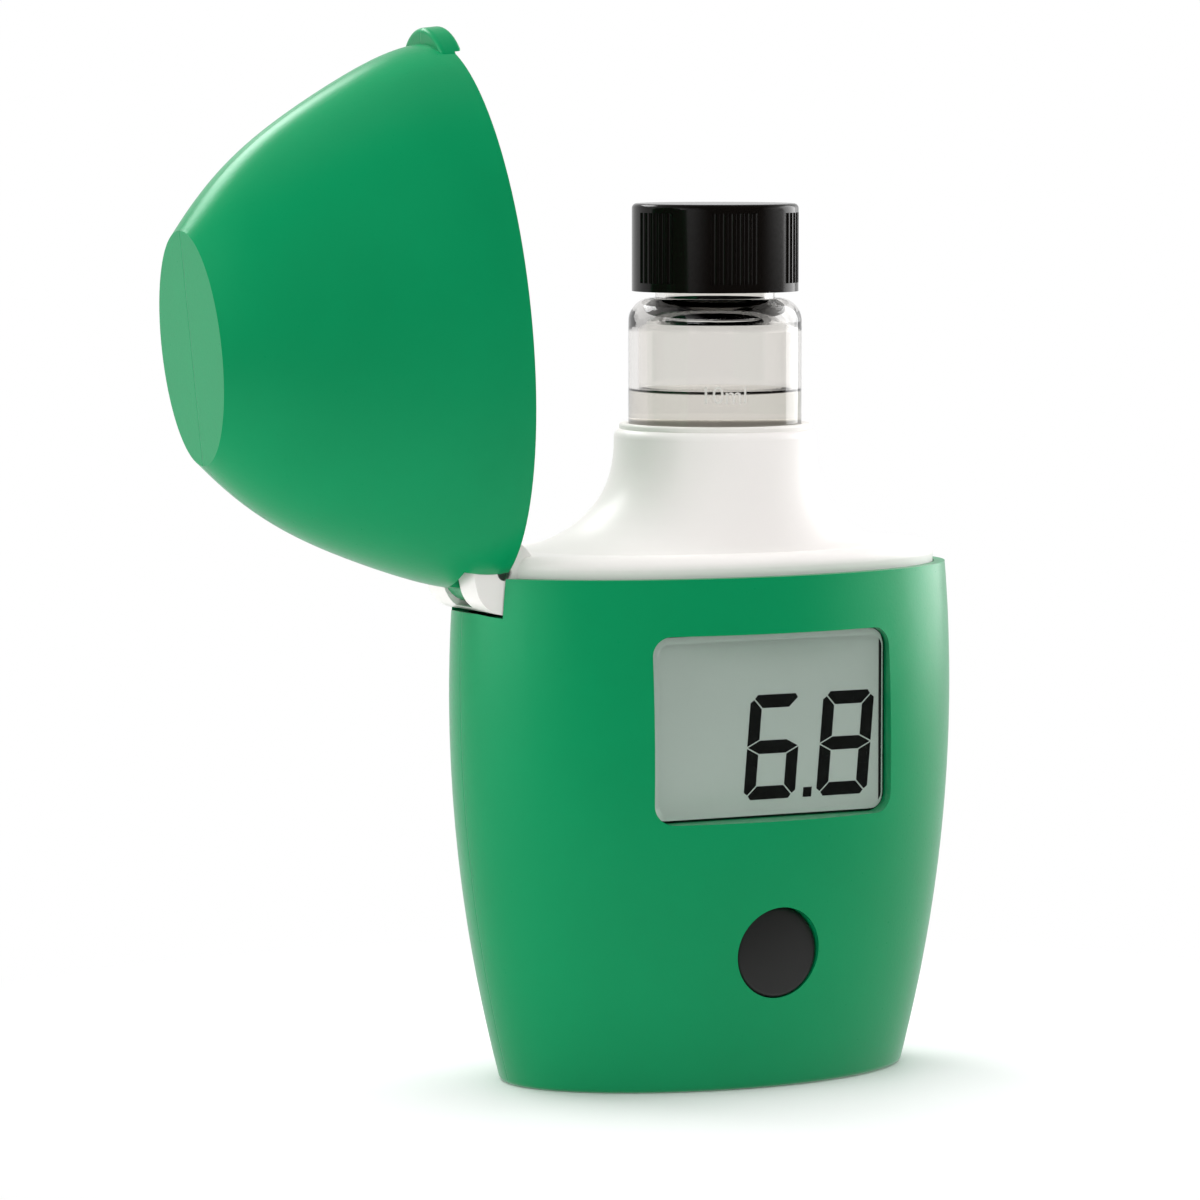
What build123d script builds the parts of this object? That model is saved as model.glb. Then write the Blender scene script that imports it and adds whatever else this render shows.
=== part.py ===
from build123d import *
import os
from math import cos, radians, sin, sqrt

# Portable colorimeter, standing open: a barrel casing, a domed lid swung over to the left,
# and a capped glass cuvette drawn up out of its well.
# Millimetres. The origin is the centre of the flat base, +Z is up and the display faces -Y.

os.makedirs("parts", exist_ok=True)


# Casing: upright barrel with elliptical sections
base_half_width = 22.5
base_taper_depth = 3.4
shoulder_half_width = 28.0
rim_half_width = 27.6
rim_taper_depth = 1.3
shoulder_level = 0.75
casing_wall = 1.8
floor_thickness = 1.8
base_edge_radius = 0.6
casing_stations = 5

# Rim seat that takes the skirt of the white holder
rim_lip = 1.15
rim_seat_depth = 2.6
skirt_clearance = 0.15

# White holder: skirt, flared neck and round collar
skirt_rise = 2.2
skirt_edge_radius = 1.3
neck_height = 11.0
neck_fullness = 1.15
neck_sink = 0.4
neck_ledge = 0.15
neck_stations = 7
neck_wall = 1.4
collar_rise = 1.1
collar_radius = 10.45
collar_edge_radius = 0.9

# Cuvette well
well_x = 1.45
well_wall = 0.9
well_depth = 63.9
cuvette_clearance = 0.25
seat_gap = 0.3

# Glass cuvette, its cap and the sample
cuvette_radius = 8.95
cuvette_wall = 1.0
cuvette_base = 1.2
cuvette_corner = 1.5
cuvette_body_height = 61.2
cuvette_shoulder_radius = 2.4
cuvette_neck_radius = 6.2
cuvette_neck_height = 7.5
cuvette_lift = 15.8
fill_height = 50.4
fill_gap = 0.05
cap_radius = 8.6
cap_height = 9.0
cap_top = 1.2
cap_bore_radius = 7.0
cap_edge_radius = 0.5
liner_thickness = 1.0
liner_clearance = 0.3
flute_groups = 6
flutes_per_group = 6
flute_angle = 5.7
flute_radius = 0.42
flute_depth = 0.2
flute_margin = 0.9

# Light seal ring in the mouth of the well
seal_width = 0.9
seal_height = 1.3
seal_stand = 0.5
seal_clearance = 0.05

# Lid: domed cover with a flat crown
lid_opening = 95.8
lid_gap = 0.2
lid_height = 29.7
lid_wall = 1.5
crown_half_width = 11.7
crown_half_depth = 7.3
crown_shift = 0.3
lid_taper = (0.0, 0.055, 0.205, 0.39, 0.635, 1.0)
lid_skirt_clearance = 0.35
tab_radius = 5.2
tab_reach = 1.6
tab_height = 2.4
tab_drop = 0.9
tab_edge_radius = 0.5
tab_clearance = 0.15

# Hinge at the left end, pin along Y
pin_inset = 1.8
pin_rise = 0.6
pin_radius = 0.8
pin_fit = 0.05
knuckle_radius = 3.4
knuckle_width = 3.4
knuckle_clearance = 0.15
cheek_width = 3.75
cheek_drop = 0.9
cheek_shift = 0.2
hinge_clearance = 0.3
hinge_block_length = 4.55
web_front = 2.6
web_back = 1.2
web_height = 7.5

# Display window and the panel behind it
window_width = 27.5
window_height = 19.0
window_drop = 15.2
window_corner = 2.0
window_fit = 0.12
window_bevel = 0.8
window_flange = 0.7
window_flange_corner = 0.5
window_flange_thickness = 0.6
window_sink = 3.6
frame_margin = 3.0
gasket_thickness = 0.2
gasket_width = 1.2
lcd_thickness = 1.2
lcd_margin = 0.5
strip_height = 1.8
strip_thickness = 0.7
strip_inset = 1.0

# Circuit board and what it carries
board_thickness = 0.8
board_gap = 0.1
board_bottom = 8.4
board_drop = 4.4
board_half_width = 14.2
board_foot_half_width = 9.5
board_foot_height = 13.0
chip_size = 6.0
chip_thickness = 1.0
chip_x = -10.8
chip_rise = 23.0
crystal_radius = 1.0
crystal_length = 5.0
crystal_rise = 16.8
capacitor_size = 3.0
capacitor_thickness = 1.6
capacitor_pitch = 4.5
capacitor_rise = 30.9
board_screw_gap = 0.5
board_screw_rise = 12.0
screw_radius = 0.8
screw_head_radius = 1.6
screw_head_height = 1.0
screw_length = 4.5
boss_radius = 1.9
boss_length = 6.8
pilot_depth = 5.5

# Power button and its switch
button_drop = 38.3
button_radius = 4.6
button_hole_clearance = 0.12
button_recess = 0.35
button_flange_radius = 5.4
button_flange_thickness = 0.5
button_crown = 0.3
button_edge_radius = 0.4
switch_size = 5.2
switch_height = 1.4
plunger_radius = 1.5
plunger_stand = 0.7
plunger_depth = 0.8
plunger_clearance = 0.05

# Optics across the well
optics_depth = 30.0
aperture_radius = 1.5
barrel_radius = 3.6
barrel_bore_radius = 2.55
barrel_end_y = 13.4
filter_radius = 2.5
filter_thickness = 1.0
filter_y = 9.9
lamp_radius = 1.5
lamp_flange_radius = 1.9
lamp_flange_thickness = 0.8
lamp_board_size = 9.0
lamp_board_thickness = 0.8
detector_radius = 2.2
detector_thickness = 0.8
detector_clearance = 0.1

# Battery bay behind a screwed cover
battery_gap = 1.8
battery_radius = 5.25
battery_length = 43.5
nub_radius = 1.9
nub_height = 1.0
contact_thickness = 0.4
contact_half_depth = 3.4
contact_half_width = 3.4
contact_strip_width = 2.0
contact_tab_height = 4.5
spring_length = 2.8
spring_radius = 3.0
spring_wire_radius = 0.3
spring_turns = 2
cover_left_margin = 6.9
cover_right_margin = 12.5
cover_bottom = 3.6
cover_drop = 3.6
cover_corner = 2.0
cover_gap = 0.15
cover_plate = 0.9
cover_ledge = 1.0
cover_screw_inset = 3.1
cover_screw_length = 7.0
cover_screw_sink = 0.25
cover_boss_radius = 2.2
cover_boss_start = 5.0
rib_thickness = 1.2
rib_clearance = 0.2


# Heights: the casing is as tall as the cell with its spring, contacts and the rim seat
battery_bottom = floor_thickness + contact_thickness + spring_length
battery_top = battery_bottom + battery_length + nub_height
seat_z = battery_top + contact_thickness
casing_height = seat_z + rim_seat_depth
skirt_top = casing_height + skirt_rise
neck_top = skirt_top + neck_height
collar_top = neck_top + collar_rise
lid_rim_z = casing_height + lid_gap
window_z = casing_height - window_drop
button_z = casing_height - button_drop
optics_z = casing_height - optics_depth
board_top = casing_height - board_drop
board_foot_top = board_bottom + board_foot_height
cover_top = casing_height - cover_drop
cover_screw_z = (cover_bottom + cover_top) / 2

# Well, cuvette and cap
well_radius = cuvette_radius + cuvette_clearance
well_outer_radius = well_radius + well_wall
well_floor_z = collar_top - well_depth
cuvette_bottom = well_floor_z + seat_gap + cuvette_lift
cuvette_top = cuvette_bottom + cuvette_body_height + cuvette_neck_height
cap_bottom = cuvette_top + liner_thickness + cap_top - cap_height
seal_radius = cuvette_radius + seal_clearance + seal_width
seal_z = collar_top + seal_stand - seal_height

# Depths: board, strips, panel, gasket and window lie in front of the well, one on the other
board_back_y = well_outer_radius + board_gap
board_y = board_back_y + board_thickness
strip_y = board_y + strip_thickness
lcd_y = strip_y + lcd_thickness
gasket_y = lcd_y + gasket_thickness
window_seat_y = gasket_y + window_flange_thickness
shoulder_half_depth = window_seat_y + window_sink
base_half_depth = shoulder_half_depth - base_taper_depth
rim_half_depth = shoulder_half_depth - rim_taper_depth
skirt_half_width = rim_half_width - rim_lip - skirt_clearance
skirt_half_depth = rim_half_depth - rim_lip - skirt_clearance
window_flange_width = window_width + 2 * window_flange
window_flange_height = window_height + 2 * window_flange
button_back_y = board_y + switch_height + plunger_stand

# Places beside the well
battery_x = well_x - well_outer_radius - battery_gap - battery_radius
cover_left = battery_x - cover_left_margin
cover_right = battery_x + cover_right_margin
cover_screw_x = cover_right - cover_screw_inset
board_screw_offset = well_outer_radius + board_screw_gap
board_screw_z = board_bottom + board_screw_rise
board_screw_places = [(well_x + side * board_screw_offset, board_screw_z) for side in (-1, 1)]

# Hinge
pin_x = pin_inset - rim_half_width
pin_z = casing_height + pin_rise
knuckle_slot = knuckle_width + 2 * knuckle_clearance
hinge_width = knuckle_slot + 2 * cheek_width
hinge_block_x = pin_x + hinge_block_length
hinge_floor_z = pin_z - cheek_drop - knuckle_radius
hinge_reach = cheek_drop + knuckle_radius + hinge_clearance
hinge_axis = Axis((pin_x, 0, pin_z), (0, 1, 0))
hinge_plane = Plane((pin_x, 0, pin_z), x_dir=(1, 0, 0), z_dir=(0, -1, 0))


def swell(base, shoulder, rim, level):
    """Half size at a share of the height: the parabola through base, shoulder and rim."""
    slope = (shoulder - base) / shoulder_level
    bend = (rim - base - slope) / (1 - shoulder_level)
    return base + level * (slope + bend * (level - shoulder_level))


def casing_half_width(z):
    return swell(base_half_width, shoulder_half_width, rim_half_width, z / casing_height)


def casing_half_depth(z):
    return swell(base_half_depth, shoulder_half_depth, rim_half_depth, z / casing_height)


def casing_face_y(x, z, inset=0.0):
    """Distance of the casing's front or back face from the centre plane, at x and height z."""
    width = casing_half_width(z) - inset
    depth = casing_half_depth(z) - inset
    return depth * sqrt(1 - (x / width) ** 2)


def casing_form(inset, bottom=0.0):
    """Solid barrel, its wall moved inwards by the inset, from the bottom height to the rim."""
    with BuildPart() as form:
        for station in range(casing_stations):
            z = bottom + (casing_height - bottom) * station / (casing_stations - 1)
            with BuildSketch(Plane.XY.offset(z)):
                Ellipse(casing_half_width(z) - inset, casing_half_depth(z) - inset)
        loft()
    return form.part


def neck_form(inset):
    """Flare from the skirt's outline up to the round collar, moved in and down by the inset."""
    foot_half_width = skirt_half_width - skirt_edge_radius - neck_ledge
    foot_half_depth = skirt_half_depth - skirt_edge_radius - neck_ledge
    with BuildPart() as form:
        for station in range(neck_stations):
            turn = radians(90 * (1 - station / (neck_stations - 1)))
            spread = (1 - cos(turn)) ** neck_fullness
            z = neck_top - (neck_height + neck_sink) * sin(turn) - inset
            width = collar_radius + (foot_half_width - collar_radius) * spread
            depth = collar_radius + (foot_half_depth - collar_radius) * spread
            with BuildSketch(Plane.XY.offset(z)):
                with Locations((well_x * (1 - spread), 0)):
                    Ellipse(width - inset, depth - inset)
        loft()
    return form.part


def lid_form(inset):
    """Solid dome of the lid in its closed place, moved inwards by the inset."""
    with BuildPart() as form:
        for station, taper in enumerate(lid_taper):
            level = station / (len(lid_taper) - 1)
            width = rim_half_width + (crown_half_width - rim_half_width) * taper
            depth = rim_half_depth + (crown_half_depth - rim_half_depth) * taper
            with BuildSketch(Plane.XY.offset(lid_rim_z + (lid_height - inset) * level)):
                with Locations((crown_shift * level, 0)):
                    Ellipse(width - inset, depth - inset)
        loft()
    return form.part


def cover_outline(plane, margin):
    """Rounded rectangle of the battery cover on an upright plane, shrunk by the margin."""
    with BuildSketch(plane) as outline:
        with Locations(((cover_left + cover_right) / 2, (cover_bottom + cover_top) / 2)):
            RectangleRounded(
                cover_right - cover_left - 2 * margin,
                cover_top - cover_bottom - 2 * margin,
                cover_corner,
            )
    return outline.sketch


def front_plane(y):
    """Upright plane at depth y in front of the centre, facing the user."""
    return Plane((0, -y, 0), x_dir=(1, 0, 0), z_dir=(0, -1, 0))


def cradle_rib(z):
    """Rib round the battery bay, cut out for the cell and ending beside the window."""
    half_width = casing_half_width(z) - casing_wall / 2
    half_depth = casing_half_depth(z) - casing_wall / 2
    right_end = -window_flange_width / 2 - rib_clearance
    with BuildPart() as rib:
        with BuildSketch(Plane.XY.offset(z)):
            Ellipse(half_width, half_depth)
            with Locations((right_end, 0)):
                Rectangle(half_width, half_depth, align=(Align.MAX, Align.MAX), mode=Mode.INTERSECT)
            with Locations((battery_x, 0)):
                Circle(battery_radius + rib_clearance, mode=Mode.SUBTRACT)
        extrude(amount=rib_thickness)
    return rib.part


outer_form = casing_form(0)
inner_form = casing_form(casing_wall, floor_thickness)
plate_form = casing_form(cover_plate)
cradle_ribs = [cradle_rib(battery_bottom + battery_length * share) for share in (0.25, 0.75)]

# Flat frame that thickens the wall behind the window
with BuildPart() as window_frame:
    add(casing_form(casing_wall / 2))
    with BuildSketch(front_plane(window_seat_y)):
        with Locations((0, window_z)):
            Rectangle(window_width + 2 * frame_margin, window_height + 2 * frame_margin)
    extrude(amount=shoulder_half_depth, mode=Mode.INTERSECT)

# Outer step of the battery opening
with BuildPart() as cover_step:
    extrude(cover_outline(Plane.XZ, 0), -shoulder_half_depth)
    add(plate_form, mode=Mode.SUBTRACT)

# Casing: a moulded shell with openings for the window, button, battery and hinge
with BuildPart() as casing:
    add(outer_form)
    fillet(casing.faces().sort_by(Axis.Z)[0].edges(), base_edge_radius)
    add(inner_form, mode=Mode.SUBTRACT)
    # Seat for the holder's skirt
    with BuildSketch(Plane.XY.offset(seat_z)):
        Ellipse(rim_half_width - rim_lip, rim_half_depth - rim_lip)
    extrude(amount=rim_seat_depth, mode=Mode.SUBTRACT)
    # Window opening with a recess for its flange
    add(window_frame.part)
    with BuildSketch(front_plane(window_seat_y)):
        with Locations((0, window_z)):
            RectangleRounded(
                window_flange_width + 2 * window_fit,
                window_flange_height + 2 * window_fit,
                window_flange_corner,
            )
    extrude(amount=-frame_margin, mode=Mode.SUBTRACT)
    with BuildSketch(front_plane(window_seat_y)):
        with Locations((0, window_z)):
            RectangleRounded(window_width, window_height, window_corner)
    extrude(amount=casing_half_depth(window_z), mode=Mode.SUBTRACT)
    # Hole for the button
    with BuildSketch(front_plane(board_y)):
        with Locations((0, button_z)):
            Circle(button_radius + button_hole_clearance)
    extrude(amount=casing_half_depth(button_z), mode=Mode.SUBTRACT)
    # Notch and dished floor for the hinge
    with BuildSketch(hinge_plane):
        with Locations((0, (casing_height - pin_z) / 2 + (hinge_floor_z - pin_z) / 2)):
            Rectangle(2 * (hinge_block_x - pin_x), casing_height - hinge_floor_z)
        Circle(hinge_reach)
    extrude(amount=hinge_width / 2 + knuckle_clearance, both=True, mode=Mode.SUBTRACT)
    # Opening for the battery, stepped so that the cover seats on a ledge
    extrude(cover_outline(Plane.XZ, cover_ledge), -shoulder_half_depth, mode=Mode.SUBTRACT)
    add(cover_step.part, mode=Mode.SUBTRACT)
    add(cradle_ribs)
casing.part.label = "casing"
export_step(casing.part, "parts/casing.step")

# Well tube with the lamp barrel and the screw bosses
boss_left_x = cover_screw_x - cover_boss_radius
boss_foot_z = cover_screw_z - cover_boss_radius
boss_end_y = casing_face_y(boss_left_x, boss_foot_z, casing_wall) - cover_gap
with BuildPart() as well_tube:
    with BuildSketch(Plane.XY.offset(floor_thickness)):
        with Locations((well_x, 0)):
            Circle(well_outer_radius)
    extrude(amount=neck_top - floor_thickness)
    with BuildSketch(front_plane(0)):
        with Locations((well_x, optics_z)):
            Circle(barrel_radius)
    extrude(amount=-barrel_end_y)
    with BuildSketch(front_plane(board_back_y)):
        with Locations(*board_screw_places):
            Circle(boss_radius)
    extrude(amount=-boss_length)
    with BuildSketch(front_plane(-cover_boss_start)):
        with Locations((cover_screw_x, cover_screw_z)):
            Circle(cover_boss_radius)
    extrude(amount=cover_boss_start - boss_end_y)

neck_outer = neck_form(0)
neck_inner = neck_form(neck_wall)

# White holder: skirt, flared neck, collar, well and hinge cheeks in one moulding
with BuildPart() as cuvette_holder:
    with BuildSketch(Plane.XY.offset(seat_z)):
        Ellipse(skirt_half_width, skirt_half_depth)
    extrude(amount=skirt_top - seat_z)
    fillet(cuvette_holder.faces().sort_by(Axis.Z)[-1].edges(), skirt_edge_radius)
    add(neck_outer)
    with BuildSketch(Plane.XY.offset(neck_top)):
        with Locations((well_x, 0)):
            Circle(collar_radius)
    extrude(amount=collar_rise)
    fillet(cuvette_holder.faces().sort_by(Axis.Z)[-1].edges(), collar_edge_radius)
    # Hollow underside
    with BuildSketch(Plane.XY.offset(seat_z)):
        Ellipse(skirt_half_width - neck_wall, skirt_half_depth - neck_wall)
    extrude(amount=skirt_top - neck_wall - seat_z, mode=Mode.SUBTRACT)
    add(neck_inner, mode=Mode.SUBTRACT)
    # Block above the battery that backs its contact
    with BuildSketch(Plane.XY.offset(seat_z)):
        with Locations((battery_x, 0)):
            Rectangle(2 * contact_half_width + neck_wall, 2 * contact_half_depth + neck_wall)
    extrude(amount=skirt_top - neck_wall / 2 - seat_z)
    add(well_tube.part)
    # Hinge block with its two cheeks
    with BuildSketch(hinge_plane):
        Circle(knuckle_radius)
        with Locations((cheek_shift, -cheek_drop)):
            Circle(knuckle_radius)
        with Locations((cheek_shift, -cheek_drop - knuckle_radius)):
            Rectangle(
                hinge_block_x - pin_x - cheek_shift,
                casing_height + cheek_drop + knuckle_radius - pin_z,
                align=(Align.MIN, Align.MIN),
            )
        make_hull()
    extrude(amount=hinge_width / 2, both=True)
    # Slot for the lid's knuckle
    with BuildSketch(hinge_plane):
        with Locations((knuckle_radius + hinge_clearance, -knuckle_radius - hinge_clearance)):
            Rectangle(shoulder_half_width, collar_radius, align=(Align.MAX, Align.MIN))
    extrude(amount=knuckle_slot / 2, both=True, mode=Mode.SUBTRACT)
    with BuildSketch(hinge_plane):
        Circle(pin_radius)
    extrude(amount=hinge_width, both=True, mode=Mode.SUBTRACT)
    # Bore of the well and seat of its seal ring
    with BuildSketch(Plane.XY.offset(well_floor_z)):
        with Locations((well_x, 0)):
            Circle(well_radius)
    extrude(amount=collar_top - well_floor_z, mode=Mode.SUBTRACT)
    with BuildSketch(Plane.XY.offset(seal_z)):
        with Locations((well_x, 0)):
            Circle(seal_radius)
    extrude(amount=seal_height, mode=Mode.SUBTRACT)
    # Light path: detector hole in front, aperture and filter pocket behind
    with BuildSketch(front_plane(0)):
        with Locations((well_x, optics_z)):
            Circle(detector_radius + detector_clearance)
    extrude(amount=rim_half_depth, mode=Mode.SUBTRACT)
    with BuildSketch(front_plane(0)):
        with Locations((well_x, optics_z)):
            Circle(aperture_radius)
    extrude(amount=-rim_half_depth, mode=Mode.SUBTRACT)
    with BuildSketch(front_plane(-filter_y)):
        with Locations((well_x, optics_z)):
            Circle(barrel_bore_radius)
    extrude(amount=-rim_half_depth, mode=Mode.SUBTRACT)
    # Pilot holes of the screws
    with BuildSketch(front_plane(board_back_y)):
        with Locations(*board_screw_places):
            Circle(screw_radius)
    extrude(amount=-pilot_depth, mode=Mode.SUBTRACT)
    with BuildSketch(front_plane(-boss_end_y)):
        with Locations((cover_screw_x, cover_screw_z)):
            Circle(screw_radius)
    extrude(amount=pilot_depth, mode=Mode.SUBTRACT)
cuvette_holder.part.label = "cuvette_holder"
export_step(cuvette_holder.part, "parts/cuvette_holder.step")

# Soft ring that keeps stray light out and grips the cuvette
with BuildPart() as light_seal_ring:
    with BuildSketch(Plane.XY.offset(seal_z)):
        with Locations((well_x, 0)):
            Circle(seal_radius)
            Circle(cuvette_radius + seal_clearance, mode=Mode.SUBTRACT)
    extrude(amount=seal_height)
    fillet(light_seal_ring.edges().group_by(Axis.Z)[-1], seal_width / 4)
light_seal_ring.part.label = "light_seal_ring"
export_step(light_seal_ring.part, "parts/light_seal_ring.step")

lid_outer = lid_form(0)
lid_inner = lid_form(lid_wall)

# Crescent thumb tab at the lid's free end
with BuildPart() as thumb_tab:
    with BuildSketch(Plane.XY.offset(lid_rim_z - tab_drop)):
        with Locations((rim_half_width + tab_reach - tab_radius, 0)):
            Circle(tab_radius)
    extrude(amount=tab_height)
    fillet(thumb_tab.edges(), tab_edge_radius)
    with BuildSketch(Plane.XY.offset(lid_rim_z)):
        Ellipse(rim_half_width + tab_clearance, rim_half_depth + tab_clearance)
    extrude(amount=-tab_height, mode=Mode.SUBTRACT)

# Web that joins the knuckle to the dome
with BuildPart() as knuckle_web:
    add(lid_outer)
    with BuildSketch(hinge_plane):
        with Locations(((web_back - web_front) / 2, web_height / 2)):
            Rectangle(web_back + web_front, web_height)
    extrude(amount=knuckle_width / 2, both=True, mode=Mode.INTERSECT)

# Lid, shaped in its closed place and then swung open about the pin
with BuildPart() as closed_lid:
    add(lid_outer)
    add(thumb_tab.part)
    # Hollow, with a wider mouth that passes the holder's skirt
    add(lid_inner, mode=Mode.SUBTRACT)
    with BuildSketch(Plane.XY.offset(lid_rim_z)):
        Ellipse(skirt_half_width + lid_skirt_clearance, skirt_half_depth + lid_skirt_clearance)
    extrude(amount=skirt_top + lid_skirt_clearance - lid_rim_z, mode=Mode.SUBTRACT)
    # Room for the two cheeks
    with BuildSketch(hinge_plane):
        Circle(hinge_reach)
    extrude(amount=hinge_width / 2 + knuckle_clearance, both=True, mode=Mode.SUBTRACT)
    # Knuckle between the cheeks
    add(knuckle_web.part)
    with BuildSketch(hinge_plane):
        Circle(knuckle_radius)
    extrude(amount=knuckle_width / 2, both=True)
    with BuildSketch(hinge_plane):
        Circle(pin_radius + pin_fit)
    extrude(amount=knuckle_width, both=True, mode=Mode.SUBTRACT)
with BuildPart() as lid:
    add(closed_lid.part.rotate(hinge_axis, -lid_opening))
lid.part.label = "lid"
export_step(lid.part, "parts/lid.step")

# Hinge pin
with BuildPart() as hinge_pin:
    with BuildSketch(hinge_plane):
        Circle(pin_radius)
    extrude(amount=hinge_width / 2 - hinge_clearance, both=True)
hinge_pin.part.label = "hinge_pin"
export_step(hinge_pin.part, "parts/hinge_pin.step")

# Clear window: a bevelled plug with a flange that seats behind the casing
with BuildPart() as display_window:
    with BuildSketch(front_plane(window_seat_y)):
        with Locations((0, window_z)):
            RectangleRounded(
                window_width - 2 * window_fit,
                window_height - 2 * window_fit,
                window_corner - window_fit,
            )
    extrude(amount=window_bevel)
    chamfer(display_window.faces().sort_by(Axis.Y)[0].edges(), window_bevel - window_fit)
    with BuildSketch(front_plane(window_seat_y)):
        with Locations((0, window_z)):
            RectangleRounded(window_flange_width, window_flange_height, window_flange_corner)
    extrude(amount=-window_flange_thickness)
display_window.part.label = "display_window"
export_step(display_window.part, "parts/display_window.step")

# Foam gasket between the window and the display panel
with BuildPart() as window_gasket:
    with BuildSketch(front_plane(gasket_y)):
        with Locations((0, window_z)):
            RectangleRounded(window_flange_width, window_flange_height, window_flange_corner)
            Rectangle(
                window_flange_width - 2 * gasket_width,
                window_flange_height - 2 * gasket_width,
                mode=Mode.SUBTRACT,
            )
    extrude(amount=-gasket_thickness)
window_gasket.part.label = "window_gasket"
export_step(window_gasket.part, "parts/window_gasket.step")

# Liquid crystal panel
with BuildPart() as lcd_panel:
    with BuildSketch(front_plane(lcd_y)):
        with Locations((0, window_z)):
            Rectangle(window_width + 2 * lcd_margin, window_height + 2 * lcd_margin)
    extrude(amount=-lcd_thickness)
lcd_panel.part.label = "lcd_panel"
export_step(lcd_panel.part, "parts/lcd_panel.step")

# Rubber contact strips along the panel's upper and lower edges
with BuildPart() as lcd_contact_strips:
    with BuildSketch(front_plane(strip_y)):
        with Locations((0, window_z)):
            with GridLocations(0, window_height - strip_height, 1, 2):
                Rectangle(window_width - 2 * strip_inset, strip_height)
    extrude(amount=-strip_thickness)
lcd_contact_strips.part.label = "lcd_contact_strips"
export_step(lcd_contact_strips.part, "parts/lcd_contact_strips.step")

# Circuit board, narrower at the foot to follow the casing
with BuildPart() as circuit_board:
    with BuildSketch(front_plane(board_y)):
        with BuildLine():
            Polyline(
                (board_foot_half_width, board_bottom),
                (board_half_width, board_foot_top),
                (board_half_width, board_top),
                (-board_half_width, board_top),
                (-board_half_width, board_foot_top),
                (-board_foot_half_width, board_bottom),
                close=True,
            )
        make_face()
        with Locations(*board_screw_places):
            Circle(screw_radius + detector_clearance, mode=Mode.SUBTRACT)
    extrude(amount=-board_thickness)
circuit_board.part.label = "circuit_board"
export_step(circuit_board.part, "parts/circuit_board.step")

# Screws that hold the board to the holder's bosses
with BuildPart() as board_screws:
    with BuildSketch(front_plane(board_y)):
        with Locations(*board_screw_places):
            Circle(screw_head_radius)
    extrude(amount=screw_head_height)
    with BuildSketch(front_plane(board_y)):
        with Locations(*board_screw_places):
            Circle(screw_radius)
    extrude(amount=-screw_length)
board_screws.part.label = "board_screws"
export_step(board_screws.part, "parts/board_screws.step")

# Microcontroller, clock crystal and capacitors on the back of the board
with BuildPart() as microcontroller:
    with BuildSketch(front_plane(board_back_y)):
        with Locations((chip_x, board_bottom + chip_rise)):
            Rectangle(chip_size, chip_size)
    extrude(amount=-chip_thickness)
microcontroller.part.label = "microcontroller"
export_step(microcontroller.part, "parts/microcontroller.step")

with BuildPart() as clock_crystal:
    with BuildSketch(Plane.XY.offset(board_bottom + crystal_rise)):
        with Locations((chip_x, crystal_radius - board_back_y)):
            Circle(crystal_radius)
    extrude(amount=crystal_length / 2, both=True)
clock_crystal.part.label = "clock_crystal"
export_step(clock_crystal.part, "parts/clock_crystal.step")

with BuildPart() as capacitors:
    with BuildSketch(front_plane(board_back_y)):
        with Locations((chip_x, board_bottom + capacitor_rise)):
            with GridLocations(0, capacitor_pitch, 1, 2):
                Rectangle(2 * capacitor_size, capacitor_size)
    extrude(amount=-capacitor_thickness)
capacitors.part.label = "capacitors"
export_step(capacitors.part, "parts/capacitors.step")

# Tactile switch and its plunger
with BuildPart() as tactile_switch:
    with BuildSketch(front_plane(board_y)):
        with Locations((0, button_z)):
            Rectangle(switch_size, switch_size)
            Circle(plunger_radius + plunger_clearance, mode=Mode.SUBTRACT)
    extrude(amount=switch_height)
tactile_switch.part.label = "tactile_switch"
export_step(tactile_switch.part, "parts/tactile_switch.step")

with BuildPart() as switch_plunger:
    with BuildSketch(front_plane(button_back_y)):
        with Locations((0, button_z)):
            Circle(plunger_radius)
    extrude(amount=-plunger_stand - plunger_depth)
switch_plunger.part.label = "switch_plunger"
export_step(switch_plunger.part, "parts/switch_plunger.step")

# Power button: a crowned round pad with a flange behind the casing wall
button_face_y = casing_half_depth(button_z) - button_recess
button_face_radius = ((button_radius - button_edge_radius) ** 2 + button_crown**2) / (2 * button_crown)
button_face_radius = (button_radius**2 + button_crown**2) / (2 * button_crown)
with BuildPart() as power_button:
    with BuildSketch(front_plane(button_back_y)):
        with Locations((0, button_z)):
            Circle(button_radius)
    extrude(amount=button_face_y - button_back_y)
    with Locations((0, button_face_radius - button_face_y, button_z)):
        Sphere(button_face_radius, mode=Mode.INTERSECT)
    fillet(power_button.edges().group_by(Axis.Y)[0], button_edge_radius)
    with BuildSketch(front_plane(button_back_y)):
        with Locations((0, button_z)):
            Circle(button_flange_radius)
    extrude(amount=button_flange_thickness)
power_button.part.label = "power_button"
export_step(power_button.part, "parts/power_button.step")

# Light detector on the back of the board
with BuildPart() as light_detector:
    with BuildSketch(front_plane(board_back_y)):
        with Locations((well_x, optics_z)):
            Circle(detector_radius)
    extrude(amount=-detector_thickness)
light_detector.part.label = "light_detector"
export_step(light_detector.part, "parts/light_detector.step")

# Colour filter, lamp and lamp board behind the well
with BuildPart() as optical_filter:
    with BuildSketch(front_plane(-filter_y)):
        with Locations((well_x, optics_z)):
            Circle(filter_radius)
    extrude(amount=-filter_thickness)
optical_filter.part.label = "optical_filter"
export_step(optical_filter.part, "parts/optical_filter.step")

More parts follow.
